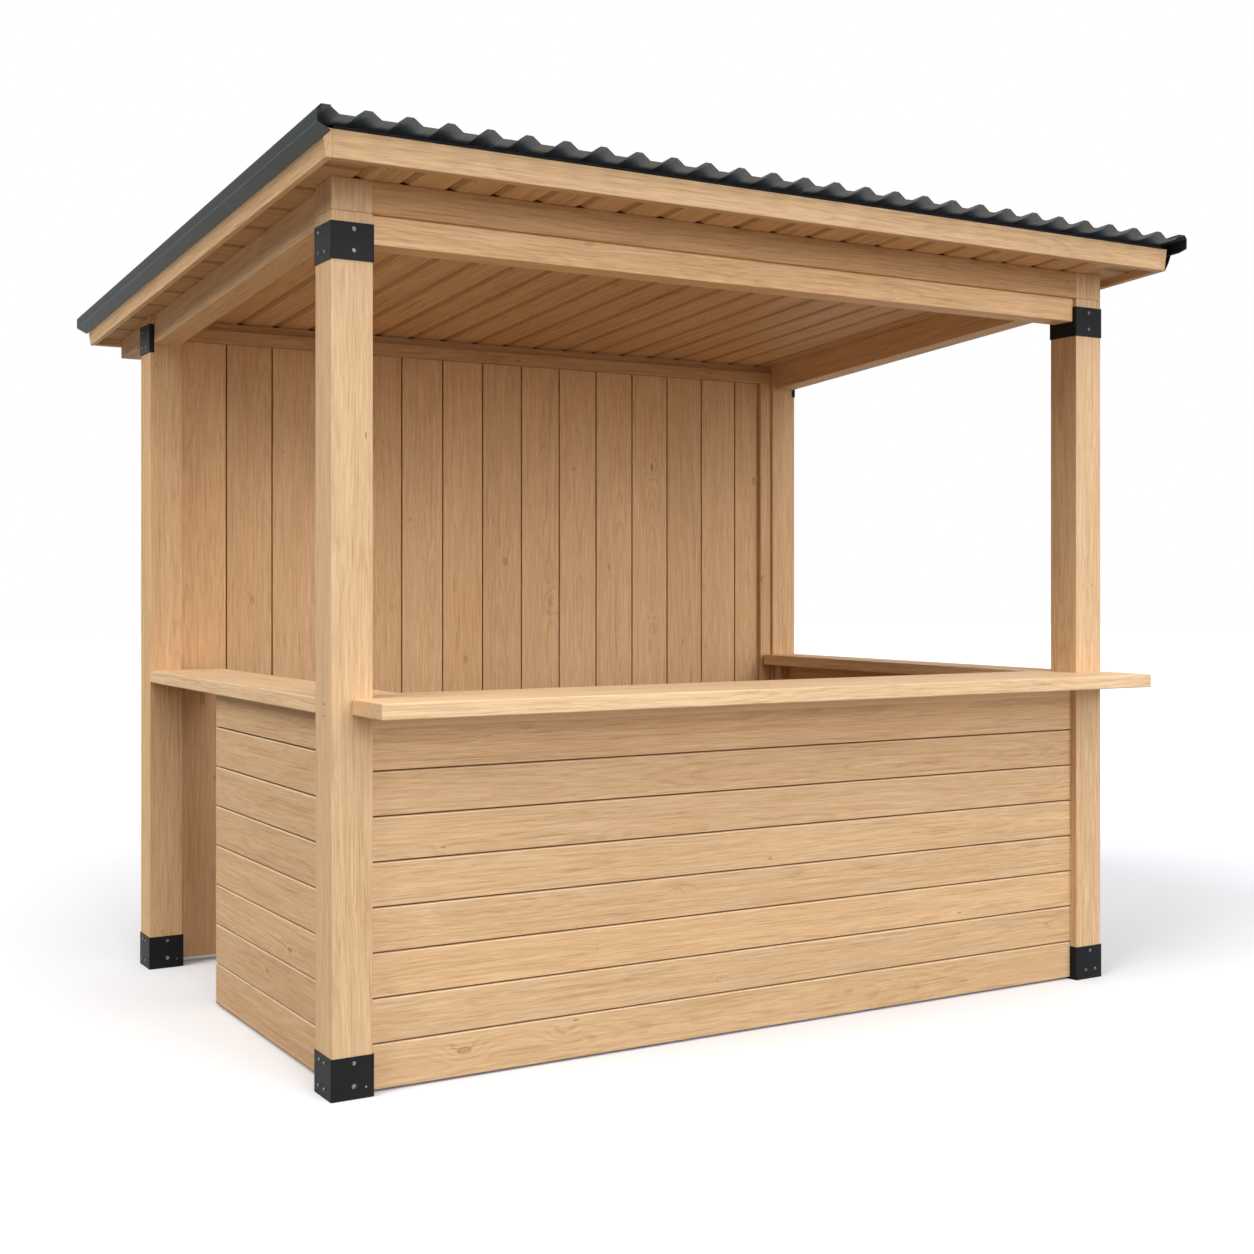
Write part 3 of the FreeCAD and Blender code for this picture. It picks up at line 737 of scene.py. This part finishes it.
roof_coat = powder_coat("roof_coat", ROOF_GREY, ROOF_PALE, 0.44, backing=ROOF_BACKING)
flashing_coat = powder_coat("flashing_coat", FLASHING_GREY, FLASHING_PALE, 0.42, FLASHING_BACKING)
eaves_coat = powder_coat("eaves_coat", EAVES_BLACK, EAVES_WORN, 0.50)
folded("roof_sheet", roof_coat)
for side in SIDES:
    folded("verge_flashing_" + side, flashing_coat)
for row in ROWS:
    finish_node("eaves_strip_" + row, eaves_coat)
deselect_all()
bpy.ops.mesh.primitive_cylinder_add(vertices=12, radius=SCREW_WASHER_RADIUS,
                                    depth=SCREW_WASHER_THICKNESS,
                                    location=(0, 0, SCREW_WASHER_THICKNESS / 2))
roof_screw = bpy.context.object
roof_screw.name = "roof_screw"
bpy.ops.object.transform_apply(location=True)
bpy.ops.object.mode_set(mode="EDIT")
shape_faces(roof_screw, lambda centre, normal: normal.z > 0.9)
bpy.ops.mesh.inset(thickness=SCREW_HEAD_INSET)
pull(0, 0, SCREW_HEAD_HEIGHT)
shape_edges(roof_screw, lambda a, b: a.z > 0.005 and b.z > 0.005)
bpy.ops.mesh.bevel(offset=SCREW_HEAD_ROUNDING, segments=1, affect="EDGES")
bpy.ops.object.mode_set(mode="OBJECT")
screws = []
roof_up = Vector((0, ROOF_SLOPE, 1)).normalized()
for y in PURLIN_LINES:
    for crest in range(1, CREST_COUNT - 1, 3):
        x = CREST_FIRST_X + CREST_STEP * crest
        screws.append(copy_at(roof_screw, (x, y, soffit_z(y) + CREST_RISE), roof_up))
roof_screws = join_all(screws, "roof_screws")
screw_coat = powder_coat("screw_coat", FLASHING_GREY, ROOF_PALE, 0.35)
dress(roof_screws, screw_coat, "roof_metal")

# Back wall
# Fifteen upright boards, 177 mm wide and tongued, close the back. They are screwed to two rails
# outside and covered by a batten in the right corner.
WALL_BOARDS = 15
WALL_EDGE_X = 1.33
WALL_FACE_Y = 0.7925
WALL_REAR_Y = 0.8165
WALL_LOW_Z = 0.020
WALL_HIGH_Z = 2.277
WALL_GAP = 0.0050
WALL_EASE = 0.0020


def tongued_board(name, low, high, stack, long, seen, near_ease, far_ease):
    """A board with eased edges on its seen side, a tongue on its far edge and a groove along its
    near one. Stack is the axis along which the boards follow each other, long the grain's."""
    board = block(name, low, high)
    side, way = seen
    planed = high[side] if way > 0 else low[side]
    bpy.ops.object.mode_set(mode="EDIT")
    for edge_at, ease in ((low[stack], near_ease), (high[stack], far_ease)):
        shape_edges(board, lambda a, b: abs(a[long] - b[long]) > TINY and all(
            abs(end[side] - planed) < TINY and abs(end[stack] - edge_at) < TINY for end in (a, b)))
        bpy.ops.mesh.bevel(offset=ease, segments=2, affect="EDGES")
    cut_tongue_and_groove(board, stack, high[side] - low[side], 0.006)
    bpy.ops.object.mode_set(mode="OBJECT")
    return board


wall_cover = 2 * WALL_EDGE_X / WALL_BOARDS
wall_low = (-WALL_EDGE_X + WALL_GAP / 2, WALL_FACE_Y, WALL_LOW_Z)
wall_high = (-WALL_EDGE_X + wall_cover - WALL_GAP / 2, WALL_REAR_Y, WALL_HIGH_Z)
wall_board = tongued_board("back_wall_boards", wall_low, wall_high, 0, 2, (1, -1), WALL_EASE, WALL_EASE)
wall = repeat(wall_board, (wall_cover, 0, 0), WALL_BOARDS)
# The back wall's warmer tone is painted shade
wall_timber = timber("timber_back_wall", "z", middle("back_wall"), cover=wall_cover,
                     start=-WALL_EDGE_X, seed=61.7, heart=0.08, tone=1.06, warmth=0.16,
                     figure=0.55, gap=WALL_GAP)
dress(wall, wall_timber, "frame_timber", "back_wall")
eased_each(["corner_batten"], "z", WALL_EASE, 67.3, tone=0.95, warmth=0.08)
finish_node("wall_rails", timber("timber_wall_rails", "x", middle("wall_rails"), seed=66.1))

# Walls under the counter
# Eight tongued boards lie on each other on hidden studs: a front wall between the posts, a short one
# on the left with the way in behind it, and a full one on the right. The boards differ in width.
PANEL_BOARDS = 8
PANEL_GAP = 0.0048
PANEL_FOOT_Z = 0.0075
PANEL_NEAR_EASE = 0.0012
PANEL_FAR_EASE = 0.0042
FRONT_START_Z = 0.008
FRONT_COVER = 0.124
SIDE_START_Z = 0.012
SIDE_BOARD_COVER = 0.1295


def board_wall(name, node, long, seen, start, cover, seed, **grain):
    """A wall of level boards in the space of its node. The lowest and the highest are fitted."""
    node_low, node_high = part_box(node)
    low = Vector((node_low.x, node_low.y, start + PANEL_GAP / 2))
    high = Vector((node_high.x, node_high.y, start + cover - PANEL_GAP / 2))
    board = tongued_board(name, low, high, 2, long, seen, PANEL_NEAR_EASE, PANEL_FAR_EASE)
    panel = repeat(board, (0, 0, cover), PANEL_BOARDS)
    middle_of_first = start + cover / 2
    middle_of_last = start + cover * (PANEL_BOARDS - 0.5)
    foot_change = PANEL_FOOT_Z - low.z
    top_change = node_high.z - PANEL_GAP / 2 - (start + cover * PANEL_BOARDS - PANEL_GAP / 2)
    bpy.ops.object.mode_set(mode="EDIT")
    shape_edges(panel, lambda a, b: a.z < middle_of_first and b.z < middle_of_first)
    bpy.ops.transform.translate(value=(0, 0, foot_change))
    shape_edges(panel, lambda a, b: a.z > middle_of_last and b.z > middle_of_last)
    bpy.ops.transform.translate(value=(0, 0, top_change))
    bpy.ops.object.mode_set(mode="OBJECT")
    along = "x" if long == 0 else "y"
    wood = timber("timber_" + name, along, middle(node), cover=cover, start=start, seed=seed,
                  heart=0.07, gap=PANEL_GAP, rows=PANEL_BOARDS, eased_by=PANEL_FAR_EASE, **grain)
    dress(panel, wood, "frame_timber", node)


board_wall("front_boards", "panel_front", 0, (1, -1), FRONT_START_Z, FRONT_COVER, 59.9,
           knots=0.22, figure=0.85)
# The left wall gets a darker tone as painted shade
board_wall("left_boards", "panel_left", 1, (0, -1), SIDE_START_Z, SIDE_BOARD_COVER, 63.1,
           knots=0.30, tone=0.92)
board_wall("right_boards", "panel_right", 1, (0, 1), SIDE_START_Z, SIDE_BOARD_COVER, 64.9)
for node in ("studs_front", "studs_left", "studs_right"):
    finish_node(node, timber("timber_" + node, "z", middle(node), seed=69.7))

# Counter
# Planks 44 mm thick lie on the walls: a deep ledge along the front that passes both posts, and a
# plank on each side. They are planed, eased and oiled, and screwed to the posts.
COUNTER_EASE = 0.0035
SMALL_SCREW_HEIGHTS = (1.063, 1.031)
SMALL_SCREW_Y = -0.955
SMALL_SCREW_SCALE = 0.42
# The counters get a paler, cooler tone as painted light on their lit tops
eased_each(["counter_front"], "x", COUNTER_EASE, 71.9, "counter_timber", heart=0.10, tone=1.09,
           warmth=-0.20, across="y")
eased_each(["counter_" + side for side in SIDES], "y", COUNTER_EASE, 73.7, "counter_timber",
           heart=0.10, tone=1.09, warmth=-0.20, across="x")
small = []
for height in SMALL_SCREW_HEIGHTS:
    place = (-POST_OUTER_X, SMALL_SCREW_Y, height)
    small.append(copy_at(bolt, place, (-1, 0, 0), SMALL_SCREW_SCALE))
counter_screws = join_all(small, "counter_screws")
dress(counter_screws, bolt_zinc, "bracket_steel")
for pattern in (bolt, roof_screw):
    bpy.data.objects.remove(pattern, do_unlink=True)

# Studio
# A plain pale floor in soft light: a low and a high soft box in front, one on the left and one
# above, an even sky, and the camera at the photograph's place.
FLOOR_SEEN = (0.872, 0.896, 0.936, 1)
FLOOR_BOUNCE = (0.23, 0.20, 0.16, 1)
FLOOR_GLOW = 0.01
SKY_TINT = (1.0, 0.97, 0.92, 1)
WHITE = (1, 1, 1, 1)
deselect_all()
bpy.ops.mesh.primitive_plane_add(size=80, location=(0, 0, 0))
floor = bpy.context.object
floor.name = "floor"
paper = Finish("floor_paper")


def seen_by_eye(finish):
    """1 for what the camera sees, straight or in a reflection, and 0 for light on the object."""
    rays = finish.add("ShaderNodeLightPath", {}, {}, "Is Camera Ray")
    outputs = rays.socket.node.outputs
    glossy = Signal(finish, outputs["Is Glossy Ray"])
    through = Signal(finish, outputs["Is Transmission Ray"])
    return (rays + glossy + through).at_most(1)


eye_sees = seen_by_eye(paper)
seen = paper.add("ShaderNodeBsdfDiffuse", {}, {"Color": FLOOR_SEEN})
bounce = paper.add("ShaderNodeBsdfDiffuse", {}, {"Color": FLOOR_BOUNCE})
lit = paper.add("ShaderNodeMixShader", {}, {0: eye_sees, 1: bounce, 2: seen})
glow = paper.add("ShaderNodeEmission", {}, {"Color": WHITE, "Strength": eye_sees * FLOOR_GLOW})
paper.end(paper.add("ShaderNodeAddShader", {}, {0: lit, 1: glow}))
floor.data.materials.append(paper.material)

world = bpy.data.worlds.new("studio")
bpy.context.scene.world = world
air = Finish("studio", world)
toward = air.split(air.add("ShaderNodeTexCoord", {}, {}, "Generated"))[2]
sky = 0.03 + 0.80 * toward.over(0.15, 1.0)
soft = air.add("ShaderNodeBackground", {}, {"Color": SKY_TINT, "Strength": sky})
white = air.add("ShaderNodeBackground", {}, {"Color": WHITE, "Strength": 1.0})
choice = air.add("ShaderNodeMixShader", {}, {0: seen_by_eye(air), 1: soft, 2: white})
air.end(choice, "ShaderNodeOutputWorld")


def soft_sun(name, towards, strength, spread, colour):
    """Even light from one side, as from a very large soft box. Spread is in degrees."""
    light = bpy.data.lights.new(name, "SUN")
    light.energy = strength
    light.color = colour
    light.angle = math.radians(spread)
    holder = bpy.data.objects.new(name, light)
    bpy.context.scene.collection.objects.link(holder)
    holder.rotation_euler = Vector(towards).to_track_quat("-Z", "Y").to_euler()


soft_sun("front_light_low", (-0.08, 0.99, -0.12), 1.46, 34, (1.0, 1.02, 1.07))
soft_sun("front_light_high", (-0.08, 0.83, -0.55), 1.04, 44, (1.0, 1.02, 1.07))
soft_sun("left_light", (0.74, 0.12, -0.66), 2.08, 38, (1.0, 0.99, 0.97))
soft_sun("top_light", (-0.24, 0.38, -0.89), 0.50, 60, (1.0, 1.0, 1.0))

camera = bpy.data.cameras.new("camera")
camera.lens = 47.34
camera.sensor_width = 36
camera.shift_x = 0.0519
camera.shift_y = -0.0333
eye = bpy.data.objects.new("camera", camera)
bpy.context.scene.collection.objects.link(eye)
eye.location = (-3.0882, -5.1459, 1.3842)
eye.rotation_euler = (math.radians(90), 0, math.radians(-29.55))
bpy.context.scene.camera = eye
bpy.context.scene.view_settings.view_transform = "Standard"
